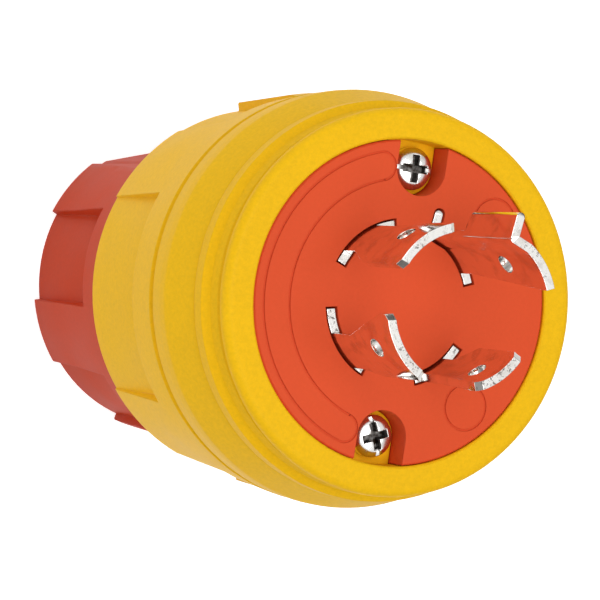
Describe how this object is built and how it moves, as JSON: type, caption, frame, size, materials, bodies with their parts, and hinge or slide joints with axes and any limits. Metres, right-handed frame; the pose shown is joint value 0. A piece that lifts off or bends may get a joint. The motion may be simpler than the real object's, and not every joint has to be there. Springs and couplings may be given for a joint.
{
  "type": "locking power plug",
  "caption": "Watertight locking power plug with curved hooked blades, a ribbed moulded housing and a hand-tightened cord clamp nut.",
  "frame": {"origin": "on the plug's axis, in the plane of the clamp nut's rear face, on which the plug stands", "axes": "+Z along the plug's axis from the cord end to the blades, +Y towards the face screw beside the ground blade"},
  "size_m": [0.0736, 0.0736, 0.126],
  "materials": {
    "housing_yellow": "satin moulded elastomer",
    "face_orange": "satin moulded thermoset",
    "nut_orange": "satin moulded plastic",
    "insulator_black": "satin moulded plastic",
    "blade_nickel": "bright nickel plating",
    "screw_zinc": "bright zinc plating",
    "washer_steel": "plain steel",
    "insert_brass": "turned brass",
    "seal_rubber": "matt rubber"
  },
  "bodies": {
    "root": {"clamp_nut": "nut_orange", "slip_washer": "washer_steel", "cord_grommet": "seal_rubber", "rear_housing": "housing_yellow", "housing_seal": "seal_rubber", "front_sleeve": "housing_yellow", "front_insulator": "face_orange", "rear_insulator": "insulator_black", "line_blade_x": "blade_nickel", "line_blade_y": "blade_nickel", "line_blade_z": "blade_nickel", "ground_blade": "blade_nickel", "terminal_screw_x": "screw_zinc", "terminal_screw_y": "screw_zinc", "terminal_screw_z": "screw_zinc", "terminal_screw_ground": "screw_zinc", "clamp_plate_x": "screw_zinc", "clamp_plate_y": "screw_zinc", "clamp_plate_z": "screw_zinc", "clamp_plate_ground": "screw_zinc", "face_screw_top": "screw_zinc", "face_screw_bottom": "screw_zinc", "screw_insert_top": "insert_brass", "screw_insert_bottom": "insert_brass"}
  },
  "joints": []
}
